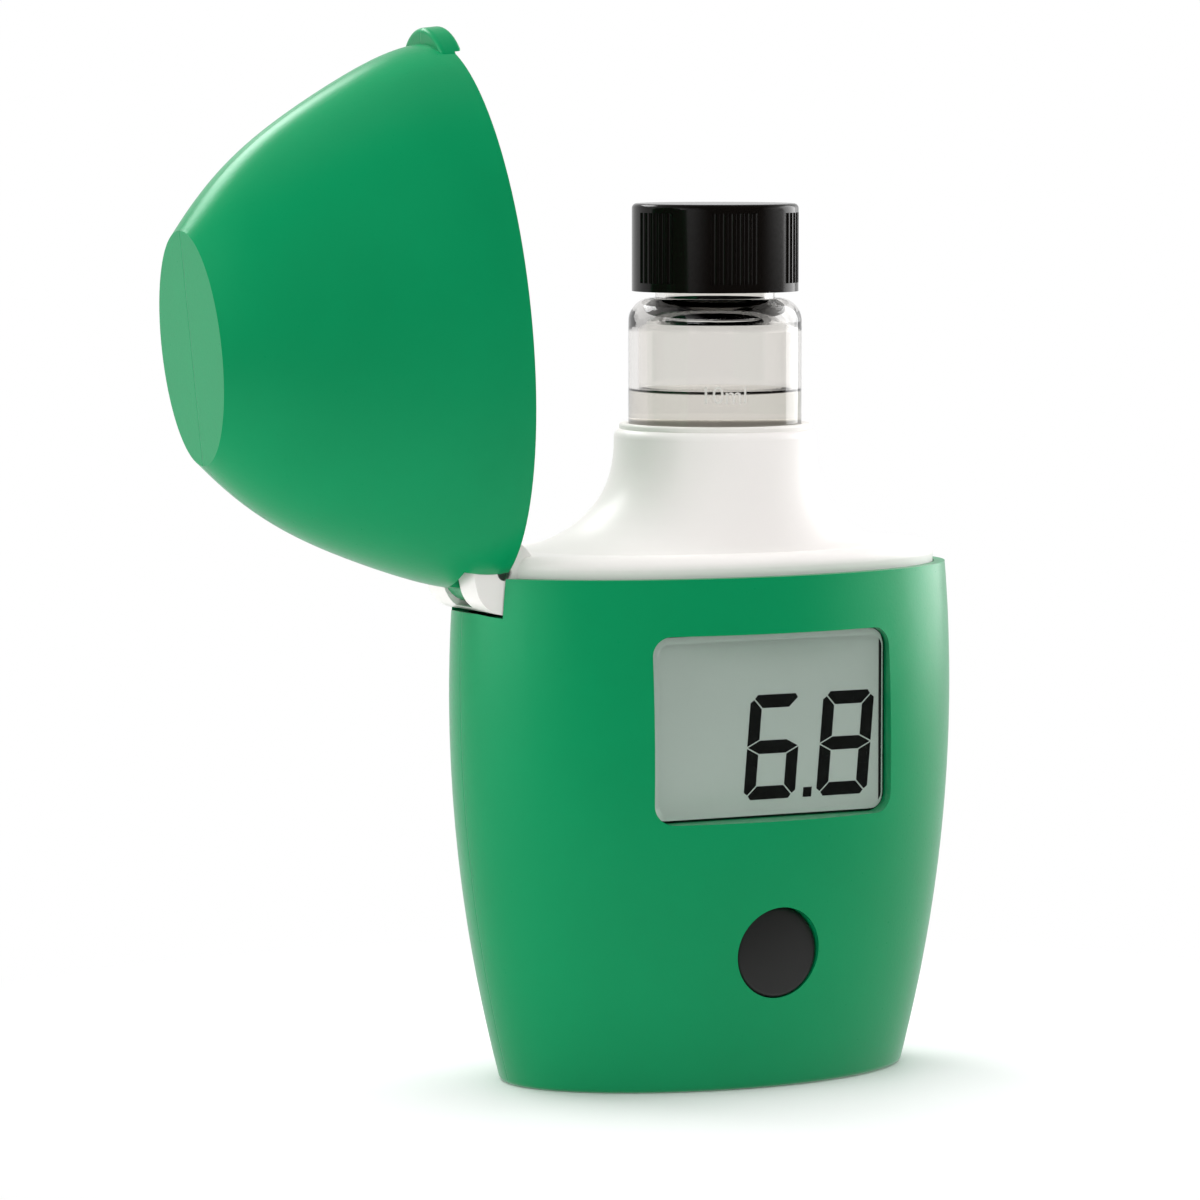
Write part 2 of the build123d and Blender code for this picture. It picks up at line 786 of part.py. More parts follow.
with BuildPart() as led_lamp:
    with BuildSketch(front_plane(-filter_y - filter_thickness)):
        with Locations((well_x, optics_z)):
            Circle(lamp_radius)
    extrude(amount=filter_y + filter_thickness - barrel_end_y)
    fillet(led_lamp.faces().sort_by(Axis.Y)[0].edges(), lamp_radius / 2)
    with BuildSketch(front_plane(-barrel_end_y)):
        with Locations((well_x, optics_z)):
            Circle(lamp_flange_radius)
    extrude(amount=lamp_flange_thickness)
led_lamp.part.label = "led_lamp"
export_step(led_lamp.part, "parts/led_lamp.step")

with BuildPart() as lamp_board:
    with BuildSketch(front_plane(-barrel_end_y)):
        with Locations((well_x, optics_z)):
            Rectangle(lamp_board_size, lamp_board_size)
    extrude(amount=-lamp_board_thickness)
lamp_board.part.label = "lamp_board"
export_step(lamp_board.part, "parts/lamp_board.step")

# Battery cell with its raised contact
with BuildPart() as battery_cell:
    with BuildSketch(Plane.XY.offset(battery_bottom)):
        with Locations((battery_x, 0)):
            Circle(battery_radius)
    extrude(amount=battery_length)
    fillet(battery_cell.edges(), nub_height / 2)
    with BuildSketch(Plane.XY.offset(battery_top - nub_height)):
        with Locations((battery_x, 0)):
            Circle(nub_radius)
    extrude(amount=nub_height)
battery_cell.part.label = "battery_cell"
export_step(battery_cell.part, "parts/battery_cell.step")


def contact_strip(plate_z, tab_end_z):
    """Sheet metal contact: a plate at the cell's end, a strip and a tab against the board."""
    strip_x = battery_x + contact_half_width
    with BuildPart() as strip:
        with BuildSketch(Plane.XY.offset(plate_z)):
            with Locations((battery_x, 0)):
                Rectangle(2 * contact_half_width, 2 * contact_half_depth)
            with Locations((strip_x, 0)):
                Rectangle(contact_strip_width, board_back_y, align=(Align.MIN, Align.MAX))
                Rectangle(contact_strip_width, 2 * contact_half_depth, align=(Align.MIN, Align.CENTER))
        extrude(amount=contact_thickness)
        with BuildSketch(front_plane(board_back_y)):
            with Locations((strip_x, (plate_z + tab_end_z) / 2)):
                Rectangle(contact_strip_width, abs(tab_end_z - plate_z), align=(Align.MIN, Align.CENTER))
        extrude(amount=-contact_thickness)
    return strip.part


with BuildPart() as upper_contact:
    add(contact_strip(battery_top, board_top - contact_tab_height))
upper_contact.part.label = "upper_contact"
export_step(upper_contact.part, "parts/upper_contact.step")

with BuildPart() as lower_contact:
    add(contact_strip(floor_thickness, board_bottom + contact_tab_height))
lower_contact.part.label = "lower_contact"
export_step(lower_contact.part, "parts/lower_contact.step")

# Spring between the lower contact and the cell
with BuildPart() as battery_spring:
    spring_start = floor_thickness + contact_thickness + spring_wire_radius
    spring_height = battery_bottom - spring_wire_radius - spring_start
    with BuildLine() as coil:
        Helix(spring_height / spring_turns, spring_height, spring_radius, center=(battery_x, 0, spring_start))
    with BuildSketch(Plane(coil.line @ 0, z_dir=coil.line % 0)):
        Circle(spring_wire_radius)
    sweep()
battery_spring.part.label = "battery_spring"
export_step(battery_spring.part, "parts/battery_spring.step")

# Inner plug of the battery cover, thinner than the wall's inner half
with BuildPart() as cover_plug:
    extrude(cover_outline(Plane.XZ, cover_ledge + cover_gap), -shoulder_half_depth)
    add(plate_form, mode=Mode.INTERSECT)
    add(inner_form, mode=Mode.SUBTRACT)

# Battery cover: an outer plate and the plug, both following the casing wall
cover_screw_face_y = casing_face_y(cover_screw_x, cover_screw_z) - cover_screw_sink
with BuildPart() as battery_cover:
    extrude(cover_outline(Plane.XZ, cover_gap), -shoulder_half_depth)
    add(outer_form, mode=Mode.INTERSECT)
    add(plate_form, mode=Mode.SUBTRACT)
    add(cover_plug.part)
    with BuildSketch(front_plane(-cover_screw_face_y + screw_head_height)):
        with Locations((cover_screw_x, cover_screw_z)):
            Circle(screw_head_radius + detector_clearance)
    extrude(amount=-shoulder_half_depth, mode=Mode.SUBTRACT)
    with BuildSketch(front_plane(0)):
        with Locations((cover_screw_x, cover_screw_z)):
            Circle(screw_radius + detector_clearance)
    extrude(amount=-shoulder_half_depth, mode=Mode.SUBTRACT)
battery_cover.part.label = "battery_cover"
export_step(battery_cover.part, "parts/battery_cover.step")

with BuildPart() as cover_screw:
    with BuildSketch(front_plane(-cover_screw_face_y)):
        with Locations((cover_screw_x, cover_screw_z)):
            Circle(screw_head_radius)
    extrude(amount=screw_head_height)
    with BuildSketch(front_plane(-cover_screw_face_y)):
        with Locations((cover_screw_x, cover_screw_z)):
            Circle(screw_radius)
    extrude(amount=cover_screw_length)
cover_screw.part.label = "cover_screw"
export_step(cover_screw.part, "parts/cover_screw.step")


def bottle_profile(inset, base):
    """Half section of the cuvette on its own axis: straight body, round shoulder, narrow neck."""
    bottom = cuvette_bottom + base
    shoulder = cuvette_bottom + cuvette_body_height - inset
    body = cuvette_radius - inset
    neck = cuvette_neck_radius - inset
    corner = cuvette_corner - inset
    bend = cuvette_shoulder_radius
    with BuildSketch(Plane((well_x, 0, 0), x_dir=(1, 0, 0), z_dir=(0, -1, 0))) as profile:
        with BuildLine():
            Polyline((0, cuvette_top), (0, bottom), (body - corner, bottom))
            CenterArc((body - corner, bottom + corner), corner, -90, 90)
            Line((body, bottom + corner), (body, shoulder - bend))
            CenterArc((body - bend, shoulder - bend), bend, 0, 90)
            Polyline((body - bend, shoulder), (neck, shoulder), (neck, cuvette_top), (0, cuvette_top))
        make_face()
    return profile.sketch


# Glass cuvette, turned about the axis of the well
cuvette_axis = Axis((well_x, 0, 0), (0, 0, 1))
cuvette_outside = bottle_profile(0, 0)
cuvette_inside = bottle_profile(cuvette_wall, cuvette_base)
with BuildPart() as cuvette:
    revolve(cuvette_outside, axis=cuvette_axis)
    revolve(cuvette_inside, axis=cuvette_axis, mode=Mode.SUBTRACT)
cuvette.part.label = "cuvette"
export_step(cuvette.part, "parts/cuvette.step")

# Sample up to the fill mark
with BuildPart() as sample_liquid:
    with BuildSketch(Plane.XY.offset(cuvette_bottom + cuvette_base + fill_gap)):
        with Locations((well_x, 0)):
            Circle(cuvette_radius - cuvette_wall - fill_gap)
    extrude(amount=fill_height)
    fillet(sample_liquid.faces().sort_by(Axis.Z)[0].edges(), cuvette_corner - cuvette_wall)
sample_liquid.part.label = "sample_liquid"
export_step(sample_liquid.part, "parts/sample_liquid.step")

# Liner disc inside the cap
with BuildPart() as cap_liner:
    with BuildSketch(Plane.XY.offset(cuvette_top)):
        with Locations((well_x, 0)):
            Circle(cap_bore_radius - liner_clearance)
    extrude(amount=liner_thickness)
cap_liner.part.label = "cap_liner"
export_step(cap_liner.part, "parts/cap_liner.step")

# Screw cap with groups of upright flutes
with BuildPart() as cuvette_cap:
    with BuildSketch(Plane.XY.offset(cap_bottom)):
        with Locations((well_x, 0)):
            Circle(cap_radius)
    extrude(amount=cap_height)
    fillet(cuvette_cap.faces().sort_by(Axis.Z)[-1].edges(), cap_edge_radius)
    with BuildSketch(Plane.XY.offset(cap_bottom)):
        with Locations((well_x, 0)):
            Circle(cap_bore_radius)
    extrude(amount=cap_height - cap_top, mode=Mode.SUBTRACT)
    with BuildSketch(Plane.XY.offset(cap_bottom + flute_margin)):
        with Locations((well_x, 0)):
            for group in range(flute_groups):
                start = group * 360 / flute_groups
                span = flute_angle * flutes_per_group
                reach = cap_radius + flute_radius - flute_depth
                with PolarLocations(reach, flutes_per_group, start, span):
                    Circle(flute_radius)
    extrude(amount=cap_height - 2 * flute_margin, mode=Mode.SUBTRACT)
cuvette_cap.part.label = "cuvette_cap"
export_step(cuvette_cap.part, "parts/cuvette_cap.step")
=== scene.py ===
# %% [markdown]
# A pocket colorimeter stands open on a pale table. Its green casing and lid are moulded
# shells, its neck is a white moulding, and a glass cuvette with a black screw cap stands
# drawn up in the neck. The CAD model brings every rigid piece at its true size and place.
# This lesson gives those pieces their finishes, models the fine pieces that only the eye
# needs, and lights the whole as a studio would.

# %% Load the frame
import math

import bmesh
import bpy
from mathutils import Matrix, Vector


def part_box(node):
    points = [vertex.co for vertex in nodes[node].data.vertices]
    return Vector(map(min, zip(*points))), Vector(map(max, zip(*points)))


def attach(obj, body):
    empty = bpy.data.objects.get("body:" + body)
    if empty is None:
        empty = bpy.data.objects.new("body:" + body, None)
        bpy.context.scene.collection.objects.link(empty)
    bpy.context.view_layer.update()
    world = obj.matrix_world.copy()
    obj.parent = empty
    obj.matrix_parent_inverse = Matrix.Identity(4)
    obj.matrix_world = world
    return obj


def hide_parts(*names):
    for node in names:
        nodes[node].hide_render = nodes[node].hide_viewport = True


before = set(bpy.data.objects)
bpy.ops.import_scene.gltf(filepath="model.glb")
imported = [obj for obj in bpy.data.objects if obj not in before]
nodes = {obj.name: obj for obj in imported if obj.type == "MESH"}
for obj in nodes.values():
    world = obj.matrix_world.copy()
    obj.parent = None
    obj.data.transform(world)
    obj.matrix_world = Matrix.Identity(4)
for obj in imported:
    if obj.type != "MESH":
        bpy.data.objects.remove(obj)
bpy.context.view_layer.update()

MM = 0.001
print("loaded", len(nodes), "pieces")

# %% [markdown]
# A few small helpers carry every material. Plastic and paint colours are read from colour
# charts as sRGB hex values, while a shader works with linear light, so one function turns
# the first into the second. Another adds a node, sets its options, and fills each input
# with a value or with another node's output. A material is then a short list of such calls.

# %% Colour and node helpers
# Sockets that share their name with others on the same node are found by number.
MATH_A, MATH_B = 0, 1
SHADER_A, SHADER_B = 1, 2
COLOUR_A, COLOUR_B, COLOUR_MIX = 6, 7, 2
WHITE = "#ffffff"


def linear(hex_colour):
    """Linear red, green, blue and alpha of an sRGB hex colour such as #00804b."""
    channels = [int(hex_colour[i : i + 2], 16) / 255 for i in (1, 3, 5)]
    bright = [((c + 0.055) / 1.055) ** 2.4 if c > 0.04045 else c / 12.92 for c in channels]
    return (*bright, 1.0)


def add_node(tree, kind, inputs=None, **settings):
    """Adds a node to the tree with its settings, its input values and its input links."""
    node = tree.nodes.new(kind)
    for name, value in settings.items():
        setattr(node, name, value)
    for name, value in (inputs or {}).items():
        if isinstance(value, bpy.types.NodeSocket):
            tree.links.new(value, node.inputs[name])
        else:
            node.inputs[name].default_value = value
    return node


def new_material(name):
    """An empty node material and its tree."""
    material = bpy.data.materials.new(name)
    material.use_nodes = True
    material.node_tree.nodes.clear()
    return material, material.node_tree


def set_surface(tree, shader):
    """Sends a shader to the material's surface."""
    add_node(tree, "ShaderNodeOutputMaterial", {"Surface": shader})


def dress(material, *names):
    """Gives the CAD pieces of these names the material."""
    for name in names:
        for slot in nodes[name].material_slots:
            slot.material = material


print("middle grey is", round(linear("#808080")[0], 3), "in linear light")

# %% [markdown]
# The casing, the lid and the battery cover are injection-moulded ABS. The mould was lightly
# spark-eroded, which leaves a satin skin: a very fine grain that breaks up the highlights
# without looking rough. The colour is in the plastic itself, so it hardly varies, and only a
# faint cloudiness keeps it from looking like paint. Where the two mould halves met, a hair
# line runs round each shell. It lies in the plane through the middle of the object, so it
# can be drawn from the Object coordinates and needs no geometry of its own.

# %% Shades and the parting line
PARTING_HALF_WIDTH = 0.12 * MM
PARTING_DEPTH = 0.05 * MM


def two_shades(tree, place, deep, pale, patch_size, detail):
    """Colour that drifts between two close shades, in patches of this size."""
    patches = add_node(
        tree,
        "ShaderNodeTexNoise",
        {"Vector": place, "Scale": 1 / patch_size, "Detail": detail},
    )
    shade = add_node(
        tree,
        "ShaderNodeMix",
        {"Factor": patches.outputs["Fac"], COLOUR_A: linear(deep), COLOUR_B: linear(pale)},
        data_type="RGBA",
    )
    return shade.outputs[COLOUR_MIX]


def parting_line(tree, place, skin):
    """Cuts the hair line of the mould halves into the skin's relief."""
    apart = add_node(tree, "ShaderNodeSeparateXYZ", {"Vector": place})
    off_centre = add_node(
        tree,
        "ShaderNodeMath",
        {MATH_A: apart.outputs["Y"]},
        operation="ABSOLUTE",
    )
    line = add_node(
        tree,
        "ShaderNodeMapRange",
        {"Value": off_centre.outputs["Value"], "From Max": PARTING_HALF_WIDTH},
        interpolation_type="SMOOTHSTEP",
    )
    groove = add_node(
        tree,
        "ShaderNodeBump",
        {
            "Height": line.outputs["Result"],
            "Strength": 0.8,
            "Distance": PARTING_DEPTH,
            "Normal": skin,
        },
    )
    return groove.outputs["Normal"]


print("parting line", round(2 * PARTING_HALF_WIDTH / MM, 2), "mm wide")

# %% [markdown]
# One noise texture carries the eroded skin, both its relief and the small changes of its
# gloss. A second texture for the gloss could be added, but on a real skin the two go
# together, because the peaks of the grain scatter the most light.

# %% How a moulded plastic is built
CLOUD_SIZE = 14 * MM
SATIN_SPREAD = 0.05


def moulded_plastic(
    name, deep, pale, roughness, grain, depth, gloss=0.5, tint=WHITE, parting=False
):
    """Moulded plastic in two close shades, with a fine eroded grain.

    The grain's width and depth are in millimetres. Gloss is the strength of the mirror
    layer and tint its colour.
    """
    material, tree = new_material(name)
    place = add_node(tree, "ShaderNodeTexCoord").outputs["Object"]
    skin = add_node(
        tree,
        "ShaderNodeTexNoise",
        {"Vector": place, "Scale": 1 / (grain * MM), "Detail": 2.0},
    )
    satin = add_node(
        tree,
        "ShaderNodeMapRange",
        {
            "Value": skin.outputs["Fac"],
            "To Min": roughness - SATIN_SPREAD,
            "To Max": roughness + SATIN_SPREAD,
        },
    )
    relief = add_node(
        tree,
        "ShaderNodeBump",
        {"Height": skin.outputs["Fac"], "Strength": 0.6, "Distance": depth * MM},
    ).outputs["Normal"]
    if parting:
        relief = parting_line(tree, place, relief)
    plastic = add_node(
        tree,
        "ShaderNodeBsdfPrincipled",
        {
            "Base Color": two_shades(tree, place, deep, pale, CLOUD_SIZE, 3.0),
            "Roughness": satin.outputs["Result"],
            "Specular IOR Level": gloss,
            "Specular Tint": linear(tint),
            "Normal": relief,
        },
    )
    set_surface(tree, plastic.outputs["BSDF"])
    return material


print("colour drifts over", round(CLOUD_SIZE / MM), "mm")

# %% [markdown]
# The plastics differ in colour, in gloss and in the grain of their moulds. They could share
# one material with a changed colour, but each mould leaves its own skin, and that is what
# tells the eye a satin casing from a polished cap.

# %% Moulded plastics
# The eye sees deep green with soft wide highlights. The tint keeps them green at the edges.
green_abs = moulded_plastic(
    "green satin ABS", "#008550", "#008e57", 0.30, 0.28, 0.012, tint="#9be6c4", parting=True
)
# A close, even white whose highlights hardly show.
white_abs = moulded_plastic("white ABS", "#efebe8", "#f4f0ed", 0.36, 0.20, 0.004)
# Compression-moulded in a polished tool: almost black, with narrow streaks of light.
black_phenolic = moulded_plastic(
    "black phenolic", "#0b0908", "#110e0c", 0.14, 0.5, 0.003, gloss=0.15
)
# Dull dark grey, as small moulded electric parts are.
black_nylon = moulded_plastic("black nylon", "#16171a", "#1d1e21", 0.5, 0.15, 0.006)
dress(green_abs, "casing", "lid", "battery_cover")
dress(white_abs, "cuvette_holder")
dress(black_phenolic, "cuvette_cap")
dress(black_nylon, "tactile_switch", "switch_plunger", "microcontroller", "light_detector")
print("plastics", green_abs.name, white_abs.name, black_phenolic.name, black_nylon.name)

# %% [markdown]
# The power button is silicone rubber. It is matt and a little dusty, because the rubber
# picks up fine marks that scatter light at a glancing angle, which the sheen layer gives.
# The seal ring and the cap's liner are the same stuff in white, and the display's gasket
# and contact strips are black.

# %% Rubbers
# Coarser than the real skin, so that it still shows at this size.
PEBBLE_SIZE = 0.1 * MM
PEBBLE_DEPTH = 0.012 * MM
SILICONE_IOR = 1.41


def silicone_rubber(name, colour, sheen, roughness):
    """Soft matt rubber with a fine pebbled skin."""
    material, tree = new_material(name)
    place = add_node(tree, "ShaderNodeTexCoord").outputs["Object"]
    pebble = add_node(
        tree,
        "ShaderNodeTexNoise",
        {"Vector": place, "Scale": 1 / PEBBLE_SIZE, "Detail": 1.0},
    )
    relief = add_node(
        tree,
        "ShaderNodeBump",
        {"Height": pebble.outputs["Fac"], "Strength": 0.5, "Distance": PEBBLE_DEPTH},
    )
    rubber = add_node(
        tree,
        "ShaderNodeBsdfPrincipled",
        {
            "Base Color": linear(colour),
            "Roughness": roughness,
            "IOR": SILICONE_IOR,
            "Sheen Weight": sheen,
            "Sheen Roughness": 0.4,
            "Normal": relief.outputs["Normal"],
        },
    )
    set_surface(tree, rubber.outputs["BSDF"])
    return material


# Soft charcoal that never mirrors its surroundings.
black_rubber = silicone_rubber("black silicone", "#20201f", 0.08, 0.4)
# Milky white, a shade warmer than the moulding around it.
white_rubber = silicone_rubber("white silicone", "#ece9e4", 0.05, 0.4)
dress(black_rubber, "power_button", "window_gasket", "lcd_contact_strips")
dress(white_rubber, "light_seal_ring", "cap_liner")
print("rubbers", black_rubber.name, "and", white_rubber.name)

# %% [markdown]
# Clear things come next: the acrylic display window, the glass cuvette and the sample in it.
# A refracting shader bends what lies behind, but it also blocks lamps, and what lies behind
# turns dark. Real clear plastic lets that light through, so for shadow rays the shader is
# swapped for a plain transparent one.

# %% Clear materials


def clear_solid(name, colour, ior, roughness):
    """Clear refracting material that lets the lamps' light through."""
    material, tree = new_material(name)
    bending = add_node(
        tree,
        "ShaderNodeBsdfPrincipled",
        {
            "Base Color": linear(colour),
            "Roughness": roughness,
            "IOR": ior,
            "Transmission Weight": 1.0,
        },
    )
    through = add_node(tree, "ShaderNodeBsdfTransparent", {"Color": linear(WHITE)})
    path = add_node(tree, "ShaderNodeLightPath")
    either = add_node(
        tree,
        "ShaderNodeMixShader",
        {
            "Fac": path.outputs["Is Shadow Ray"],
            SHADER_A: bending.outputs["BSDF"],
            SHADER_B: through.outputs["BSDF"],
        },
    )
    set_surface(tree, either.outputs["Shader"])
    return material


# Moulded acrylic: bright and clear, with a soft edge to its reflections.
acrylic = clear_solid("clear acrylic", "#f8fbf9", 1.49, 0.02)
# Drawn glass tube: crisp dark and light lines along its edges.
borosilicate = clear_solid("borosilicate glass", "#f7f5f2", 1.47, 0.0)
# Water bends light less than glass, so the level shows as a line.
water = clear_solid("water sample", "#f8f7f4", 1.33, 0.0)
# Dyed glass that passes one narrow band of blue.
blue_filter = clear_solid("blue filter glass", "#7fb4e6", 1.52, 0.05)
# Cast resin of a lamp's dome, a touch cloudy.
lamp_resin = clear_solid("clear epoxy", "#f2f2ee", 1.5, 0.05)
dress(acrylic, "display_window")
dress(borosilicate, "cuvette")
dress(water, "sample_liquid")
dress(blue_filter, "optical_filter")
dress(lamp_resin, "led_lamp")
print("clear pieces dressed in", acrylic.name, "and", borosilicate.name)

# %% [markdown]
# The display is a reflective liquid crystal panel: two glass sheets over a silvery film,
# which gives it a flat grey with a breath of green and a dull gloss. Such a film gathers the
# light towards the reader, so it looks lighter than a matt surface of the same colour. A
# mirror layer would do the same but would show the lamps, so a faint glow stands in for it.
# That glow is painted light, as the panel gives no light of its own, and it also makes up
# for lamp light that the clear window holds back. The film's pale shades are partly its own
# grey and partly painted light, for the same reason.

# %% Display film
# Coarser than the real grain, so that it still shows at this size.
FILM_GRAIN = 0.08 * MM
# Painted light: the film glows a little, though the panel has no light of its own.
FILM_PAINTED_GLOW = 0.12


def display_film(name, deep, pale):
    """Grey-green reflective film under glass, with a faint glow of painted light."""
    material, tree = new_material(name)
    place = add_node(tree, "ShaderNodeTexCoord").outputs["Object"]
    shade = two_shades(tree, place, deep, pale, FILM_GRAIN, 1.0)
    film = add_node(
        tree,
        "ShaderNodeBsdfPrincipled",
        {
            "Base Color": shade,
            "Roughness": 0.45,
            "Specular IOR Level": 0.3,
            "Emission Color": shade,
            "Emission Strength": FILM_PAINTED_GLOW,
        },
    )
    set_surface(tree, film.outputs["BSDF"])
    return material


# Pale shades: partly the film's own grey, partly painted light for what the window holds back.
panel_film = display_film("reflective display film", "#e6f4eb", "#edfaf1")
dress(panel_film, "lcd_panel")
print("display film", panel_film.name)

# %% [markdown]
# Behind the display lie the circuit board with its green resist, plated contacts, steel
# screws and the cell. Of these only the ends of the hinge pin show while the casing is
# closed. A metal part keeps the marks of its tool: drawn wire and turned pins carry fine
# streaks, and the streaks make the gloss change from line to line.

# %% Board, cell and metals
STREAK_STRETCH = (1.0, 1.0, 0.1)
STREAK_SPREAD = 0.08


def plated_metal(name, colour, roughness, streak):
    """Metal with fine drawn or turned streaks, their spacing in millimetres."""
    material, tree = new_material(name)
    place = add_node(tree, "ShaderNodeTexCoord").outputs["Object"]
    drawn = add_node(tree, "ShaderNodeMapping", {"Vector": place, "Scale": STREAK_STRETCH})
    streaks = add_node(
        tree,
        "ShaderNodeTexNoise",
        {"Vector": drawn.outputs["Vector"], "Scale": 1 / (streak * MM), "Detail": 2.0},
    )
    dull = add_node(
        tree,
        "ShaderNodeMapRange",
        {
            "Value": streaks.outputs["Fac"],
            "To Min": roughness - STREAK_SPREAD,
            "To Max": roughness + STREAK_SPREAD,
        },
    )
    metal = add_node(
        tree,
        "ShaderNodeBsdfPrincipled",
        {"Base Color": linear(colour), "Metallic": 1.0, "Roughness": dull.outputs["Result"]},
    )
    set_surface(tree, metal.outputs["BSDF"])
    return material


# Screen-printed lacquer: dark green and slightly wet-looking.
board_resist = moulded_plastic("green solder resist", "#0b4a2a", "#0e5530", 0.3, 0.6, 0.01)
# Shrunk plastic sleeve, smooth and near black.
cell_sleeve = moulded_plastic("plain cell sleeve", "#1d1f24", "#22252a", 0.3, 0.8, 0.003)
# Fired body of small capacitors, a dry tan.
ceramic = moulded_plastic("ceramic", "#8a6a44", "#94744c", 0.5, 0.2, 0.005)
# Plated strip, warm and bright.
nickel = plated_metal("nickel plate", "#c9c5bb", 0.25, 0.1)
# Turned steel, a neutral grey.
steel = plated_metal("plain steel", "#b4b4b2", 0.3, 0.08)
dress(board_resist, "circuit_board", "lamp_board")
dress(cell_sleeve, "battery_cell")
dress(ceramic, "capacitors")
dress(nickel, "upper_contact", "lower_contact", "battery_spring")
dress(steel, "hinge_pin", "board_screws", "cover_screw", "clock_crystal")
print("metals", nickel.name, "and", steel.name)

# %% [markdown]
# The reading is made by the liquid crystal itself: thin mitred segments that turn dark, in
# figures that lean to the right. A segment is a bar with slanted ends, so that two of them
# meet at a corner with a hair of clear glass between. They could be painted on the film, but
# plates stay sharp at any distance. The real ones have no height to speak of, so these are
# flat and lie a few hundredths of a millimetre in front of the panel.

# %% Shapes of the segments
FIGURE_WIDTH = 6.0 * MM
FIGURE_HEIGHT = 10.7 * MM
STROKE = 1.36 * MM
SEGMENT_GAP = 0.10 * MM
CORNER_CUT = 0.8 * MM
HALF_WIDTH, HALF_HEIGHT = FIGURE_WIDTH / 2, FIGURE_HEIGHT / 2


def level_bar(side):
    """Outline of the top bar (side 1) or the bottom bar (side -1)."""
    ends = (
        (HALF_WIDTH - CORNER_CUT, 0),
        (HALF_WIDTH - CORNER_CUT / 2 - SEGMENT_GAP, CORNER_CUT / 2),
        (HALF_WIDTH - STROKE - SEGMENT_GAP, STROKE),
    )
    right = [(across, side * (HALF_HEIGHT - inward)) for across, inward in ends]
    return right + [(-across, up) for across, up in reversed(right)]


def upright_bar(side, half):
    """Outline of an upright bar: side -1 is left and 1 right, half 1 is upper and -1 lower."""
    outline = (
        (0, SEGMENT_GAP),
        (STROKE, STROKE / 2 + SEGMENT_GAP),
        (STROKE, HALF_HEIGHT - STROKE - SEGMENT_GAP),
        (CORNER_CUT / 2, HALF_HEIGHT - CORNER_CUT / 2 - SEGMENT_GAP),
        (0, HALF_HEIGHT - CORNER_CUT),
    )
    return [(side * (HALF_WIDTH - inward), half * up) for inward, up in outline]


def middle_bar():
    """Outline of the pointed bar across the middle."""
    tip, thick = HALF_WIDTH - SEGMENT_GAP, STROKE / 2
    shoulder = tip - STROKE
    lower = [(-tip, 0), (-shoulder, -thick), (shoulder, -thick)]
    return lower + [(-across, -up) for across, up in lower]


print("segments", round(STROKE / MM, 2), "mm thick")

# %% [markdown]
# Seven segments make any figure. They are named with the letters a to g, from the top bar
# clockwise round the ring, with g across the middle, and a figure is then a word that says
# which of them are dark. Two figures and the point between them go into one mesh.

# %% Figures on the display
LEAN = 0.085
PANEL_STAND = 0.03 * MM
FIGURE_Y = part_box("lcd_panel")[0].y - PANEL_STAND
FIGURE_Z = 34.95 * MM
LEFT_FIGURE, POINT, RIGHT_FIGURE = 0.8 * MM, 5.25 * MM, 9.3 * MM
POINT_HALF = 0.5 * MM
# Crystal that has turned dark: a flat near-black without gloss.
segment_ink = moulded_plastic(
    "dark liquid crystal", "#181a18", "#1c1e1c", 0.6, 0.2, 0.001, gloss=0.1
)


def add_plate(shape, outline, centre_x):
    """Adds one flat plate from its outline in the figure's own leaning axes."""
    corners = [
        shape.verts.new((centre_x + across + LEAN * up, FIGURE_Y, FIGURE_Z + up))
        for across, up in outline
    ]
    shape.faces.new(corners)


def add_figure(shape, centre_x, dark):
    """Adds the dark segments of one figure."""
    outlines = {
        "a": level_bar(1),
        "b": upright_bar(1, 1),
        "c": upright_bar(1, -1),
        "d": level_bar(-1),
        "e": upright_bar(-1, -1),
        "f": upright_bar(-1, 1),
        "g": middle_bar(),
    }
    for name in dark:
        add_plate(shape, outlines[name], centre_x)


shape = bmesh.new()
add_figure(shape, LEFT_FIGURE, "acdefg")
add_figure(shape, RIGHT_FIGURE, "abcdefg")
foot = -HALF_HEIGHT
square = [
    (-POINT_HALF, foot),
    (POINT_HALF, foot),
    (POINT_HALF, foot + 2 * POINT_HALF),
    (-POINT_HALF, foot + 2 * POINT_HALF),
]
add_plate(shape, square, POINT)
bmesh.ops.recalc_face_normals(shape, faces=shape.faces)
figures_mesh = bpy.data.meshes.new("display_figures")
shape.to_mesh(figures_mesh)
shape.free()
figures = bpy.data.objects.new("display_figures", figures_mesh)
bpy.context.collection.objects.link(figures)
figures.data.materials.append(segment_ink)
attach(figures, "body")
print("display figures", len(figures_mesh.polygons), "plates")

# %% [markdown]
# The sample is plain water. Where it meets the glass it creeps up the wall, and that raised
# rim is what shows the level. A cylinder could stand for it, but the rim would be missing,
# so the piece is turned from a half outline. It reaches a hair into the glass: with a gap
# between them, both walls would mirror like bubbles, while here light passes from glass to
# water as it does in a filled cuvette.

# %% How a piece is turned
TURN_STEPS = 96
SHARP_ANGLE = math.radians(35)
MERGE_DISTANCE = 0.001 * MM


def smooth(mesh):
    """Shades the mesh smooth and keeps its real edges sharp.

    Shading across an edge would bend the light in a clear piece the wrong way.
    """
    mesh.shade_smooth()
    mesh.set_sharp_from_angle(angle=SHARP_ANGLE)


